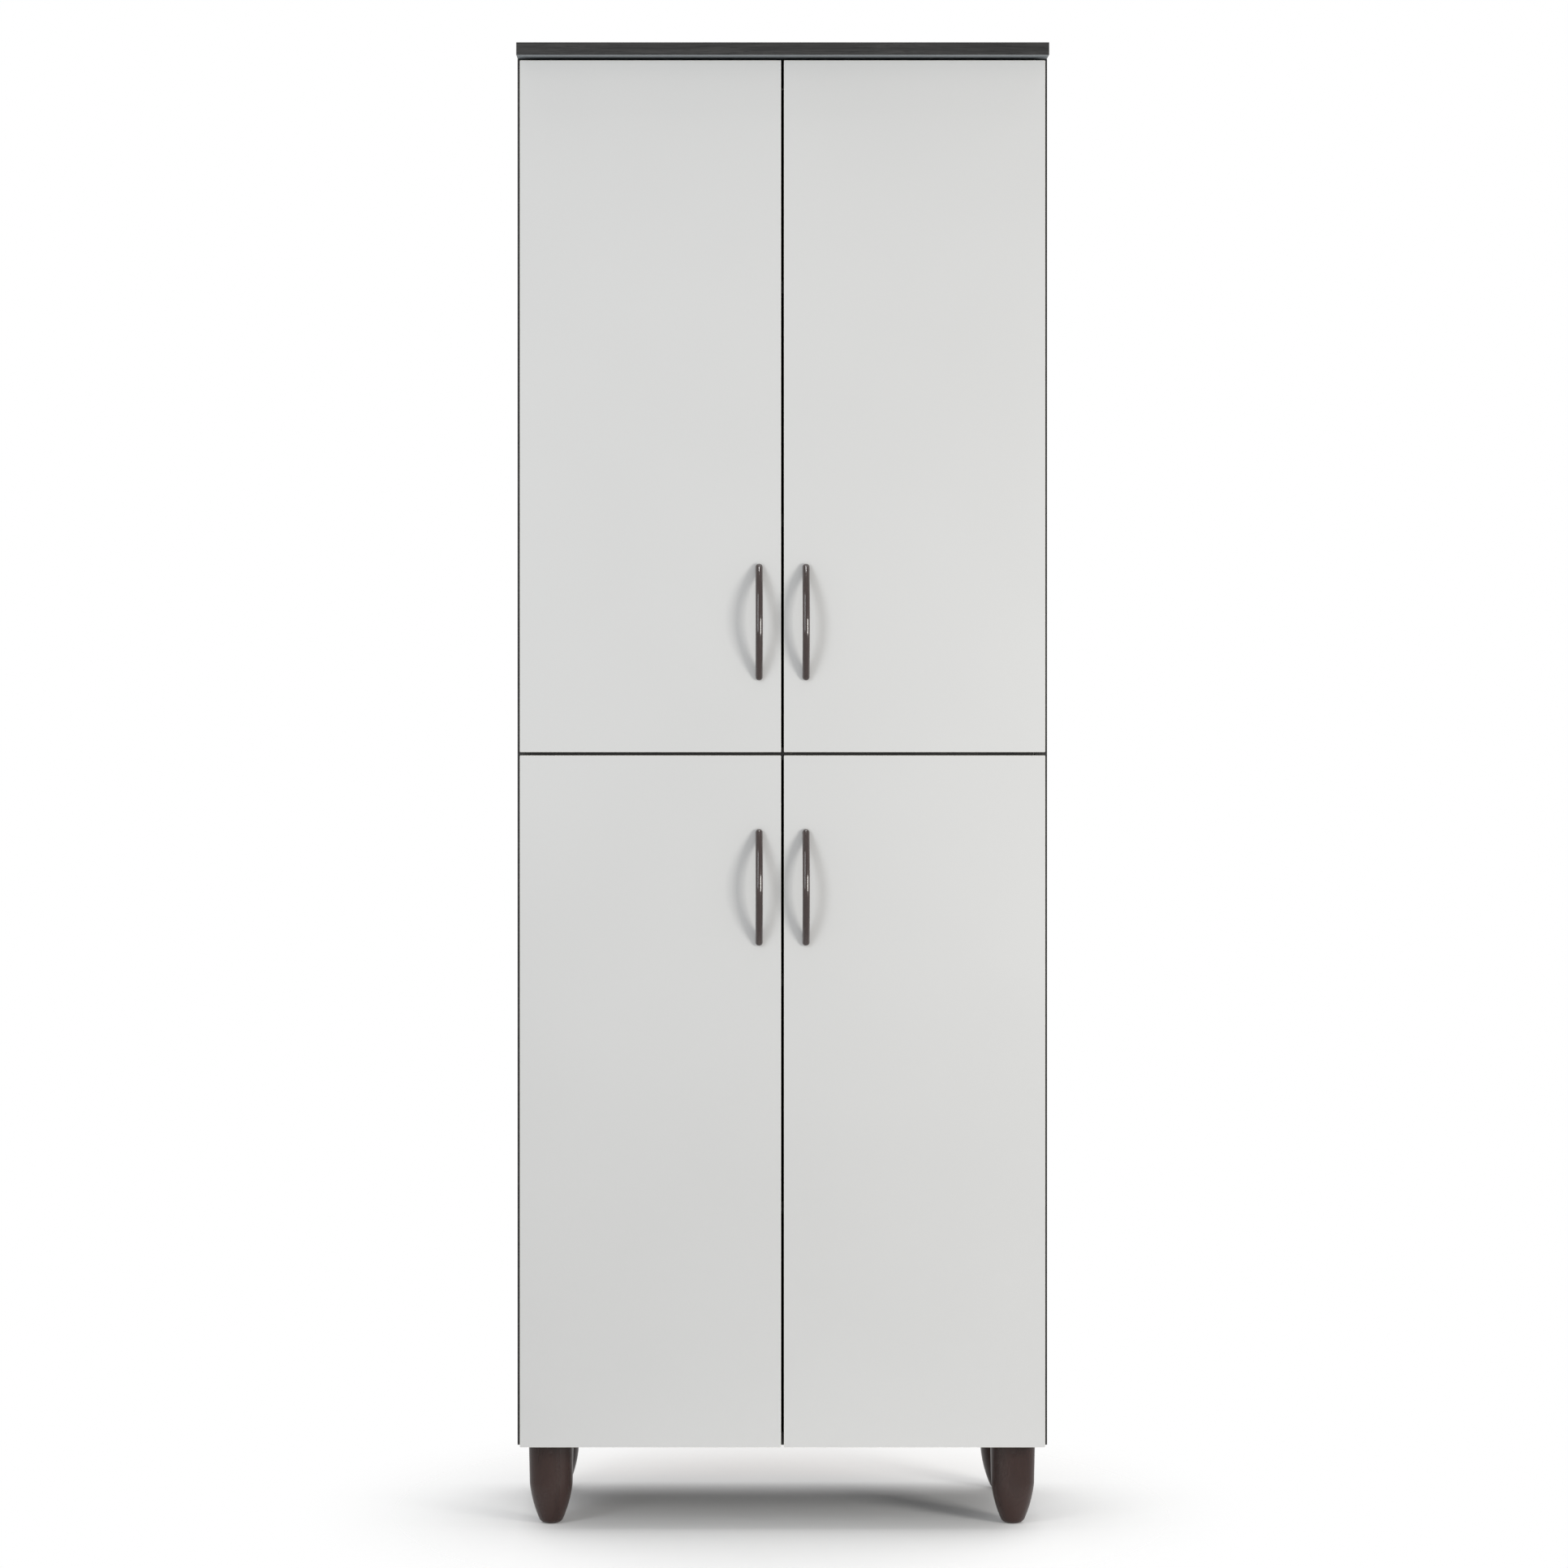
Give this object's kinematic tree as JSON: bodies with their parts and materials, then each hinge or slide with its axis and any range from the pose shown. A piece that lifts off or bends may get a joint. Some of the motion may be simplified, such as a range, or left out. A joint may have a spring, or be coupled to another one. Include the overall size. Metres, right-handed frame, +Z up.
{
  "type": "armoire",
  "caption": "Slim two-tone wardrobe cabinet with pairs of plain doors one above the other, vertical bow handles, shelves inside and round tapering feet.",
  "frame": {"origin": "on the floor, at the middle of the overall width and depth", "axes": "+X to the right seen from the front, +Y to the back, +Z up; the doors face -Y"},
  "size_m": [0.635, 0.356, 1.777],
  "materials": {
    "wenge_board": "dark wenge melamine-faced board, fine straight grain, satin",
    "white_board": "white melamine-faced board, fine pearl texture, satin",
    "hardboard": "raw brown hardboard",
    "brown_plastic": "dark brown moulded plastic, satin",
    "black_plastic": "black moulded plastic",
    "brown_lacquer": "dark brown gloss lacquer on metal",
    "nickel_steel": "nickel-plated pressed steel"
  },
  "bodies": {
    "carcass": {"left_side_panel": "wenge_board", "right_side_panel": "wenge_board", "top_panel": "wenge_board", "bottom_panel": "wenge_board", "middle_panel": "wenge_board", "lower_shelf_1": "wenge_board", "lower_shelf_2": "wenge_board", "upper_shelf_1": "wenge_board", "upper_shelf_2": "wenge_board", "lower_back_panel": "hardboard", "upper_back_panel": "hardboard", "back_joining_strip": "black_plastic", "front_left_foot": "brown_plastic", "front_right_foot": "brown_plastic", "rear_left_foot": "brown_plastic", "rear_right_foot": "brown_plastic", "front_left_foot_plate": "black_plastic", "front_right_foot_plate": "black_plastic", "rear_left_foot_plate": "black_plastic", "rear_right_foot_plate": "black_plastic", "lower_left_hinge_1_arm": "nickel_steel", "lower_left_hinge_2_arm": "nickel_steel", "lower_right_hinge_1_arm": "nickel_steel", "lower_right_hinge_2_arm": "nickel_steel", "upper_left_hinge_1_arm": "nickel_steel", "upper_left_hinge_2_arm": "nickel_steel", "upper_right_hinge_1_arm": "nickel_steel", "upper_right_hinge_2_arm": "nickel_steel"},
    "lower_left_door": {"lower_left_door": "white_board", "lower_left_handle": "brown_lacquer", "lower_left_hinge_1_cup": "nickel_steel", "lower_left_hinge_2_cup": "nickel_steel"},
    "lower_left_outer_links": {"lower_left_hinge_1_outer_link": "nickel_steel", "lower_left_hinge_2_outer_link": "nickel_steel"},
    "lower_left_inner_links": {"lower_left_hinge_1_inner_link": "nickel_steel", "lower_left_hinge_2_inner_link": "nickel_steel"},
    "lower_right_door": {"lower_right_door": "white_board", "lower_right_handle": "brown_lacquer", "lower_right_hinge_1_cup": "nickel_steel", "lower_right_hinge_2_cup": "nickel_steel"},
    "lower_right_outer_links": {"lower_right_hinge_1_outer_link": "nickel_steel", "lower_right_hinge_2_outer_link": "nickel_steel"},
    "lower_right_inner_links": {"lower_right_hinge_1_inner_link": "nickel_steel", "lower_right_hinge_2_inner_link": "nickel_steel"},
    "upper_left_door": {"upper_left_door": "white_board", "upper_left_handle": "brown_lacquer", "upper_left_hinge_1_cup": "nickel_steel", "upper_left_hinge_2_cup": "nickel_steel"},
    "upper_left_outer_links": {"upper_left_hinge_1_outer_link": "nickel_steel", "upper_left_hinge_2_outer_link": "nickel_steel"},
    "upper_left_inner_links": {"upper_left_hinge_1_inner_link": "nickel_steel", "upper_left_hinge_2_inner_link": "nickel_steel"},
    "upper_right_door": {"upper_right_door": "white_board", "upper_right_handle": "brown_lacquer", "upper_right_hinge_1_cup": "nickel_steel", "upper_right_hinge_2_cup": "nickel_steel"},
    "upper_right_outer_links": {"upper_right_hinge_1_outer_link": "nickel_steel", "upper_right_hinge_2_outer_link": "nickel_steel"},
    "upper_right_inner_links": {"upper_right_hinge_1_inner_link": "nickel_steel", "upper_right_hinge_2_inner_link": "nickel_steel"}
  },
  "joints": [
    {"name": "lower_left_outer_links_turn", "type": "hinge", "parent": "carcass", "child": "lower_left_outer_links", "pos_m": [-0.2916, -0.12555, 0.5135], "axis": [0, 0, 1], "range_deg": [0, 29.46]},
    {"name": "lower_left_door_opening", "type": "hinge", "parent": "lower_left_outer_links", "child": "lower_left_door", "pos_m": [-0.3053, -0.13999, 0.5135], "axis": [0, 0, -1], "range_deg": [0, 124.45]},
    {"name": "lower_left_inner_links_turn", "type": "hinge", "parent": "carcass", "child": "lower_left_inner_links", "pos_m": [-0.2809, -0.14215, 0.5135], "axis": [0, 0, 1], "range_deg": [0, 48.46]},
    {"name": "lower_right_outer_links_turn", "type": "hinge", "parent": "carcass", "child": "lower_right_outer_links", "pos_m": [0.2916, -0.12555, 0.5135], "axis": [0, 0, -1], "range_deg": [0, 29.46]},
    {"name": "lower_right_door_opening", "type": "hinge", "parent": "lower_right_outer_links", "child": "lower_right_door", "pos_m": [0.3053, -0.13999, 0.5135], "axis": [0, 0, 1], "range_deg": [0, 124.45]},
    {"name": "lower_right_inner_links_turn", "type": "hinge", "parent": "carcass", "child": "lower_right_inner_links", "pos_m": [0.2809, -0.14215, 0.5135], "axis": [0, 0, -1], "range_deg": [0, 48.46]},
    {"name": "upper_left_outer_links_turn", "type": "hinge", "parent": "carcass", "child": "upper_left_outer_links", "pos_m": [-0.2916, -0.12555, 1.3445], "axis": [0, 0, 1], "range_deg": [0, 29.46]},
    {"name": "upper_left_door_opening", "type": "hinge", "parent": "upper_left_outer_links", "child": "upper_left_door", "pos_m": [-0.3053, -0.13999, 1.3445], "axis": [0, 0, -1], "range_deg": [0, 124.45]},
    {"name": "upper_left_inner_links_turn", "type": "hinge", "parent": "carcass", "child": "upper_left_inner_links", "pos_m": [-0.2809, -0.14215, 1.3445], "axis": [0, 0, 1], "range_deg": [0, 48.46]},
    {"name": "upper_right_outer_links_turn", "type": "hinge", "parent": "carcass", "child": "upper_right_outer_links", "pos_m": [0.2916, -0.12555, 1.3445], "axis": [0, 0, -1], "range_deg": [0, 29.46]},
    {"name": "upper_right_door_opening", "type": "hinge", "parent": "upper_right_outer_links", "child": "upper_right_door", "pos_m": [0.3053, -0.13999, 1.3445], "axis": [0, 0, 1], "range_deg": [0, 124.45]},
    {"name": "upper_right_inner_links_turn", "type": "hinge", "parent": "carcass", "child": "upper_right_inner_links", "pos_m": [0.2809, -0.14215, 1.3445], "axis": [0, 0, -1], "range_deg": [0, 48.46]}
  ],
  "couplings": [
    {"joint": "lower_left_outer_links_turn", "follows": "lower_left_door_opening", "ratio": 0.23664},
    {"joint": "lower_left_inner_links_turn", "follows": "lower_left_door_opening", "ratio": 0.38931},
    {"joint": "lower_right_outer_links_turn", "follows": "lower_right_door_opening", "ratio": 0.23664},
    {"joint": "lower_right_inner_links_turn", "follows": "lower_right_door_opening", "ratio": 0.38931},
    {"joint": "upper_left_outer_links_turn", "follows": "upper_left_door_opening", "ratio": 0.23664},
    {"joint": "upper_left_inner_links_turn", "follows": "upper_left_door_opening", "ratio": 0.38931},
    {"joint": "upper_right_outer_links_turn", "follows": "upper_right_door_opening", "ratio": 0.23664},
    {"joint": "upper_right_inner_links_turn", "follows": "upper_right_door_opening", "ratio": 0.38931}
  ]
}
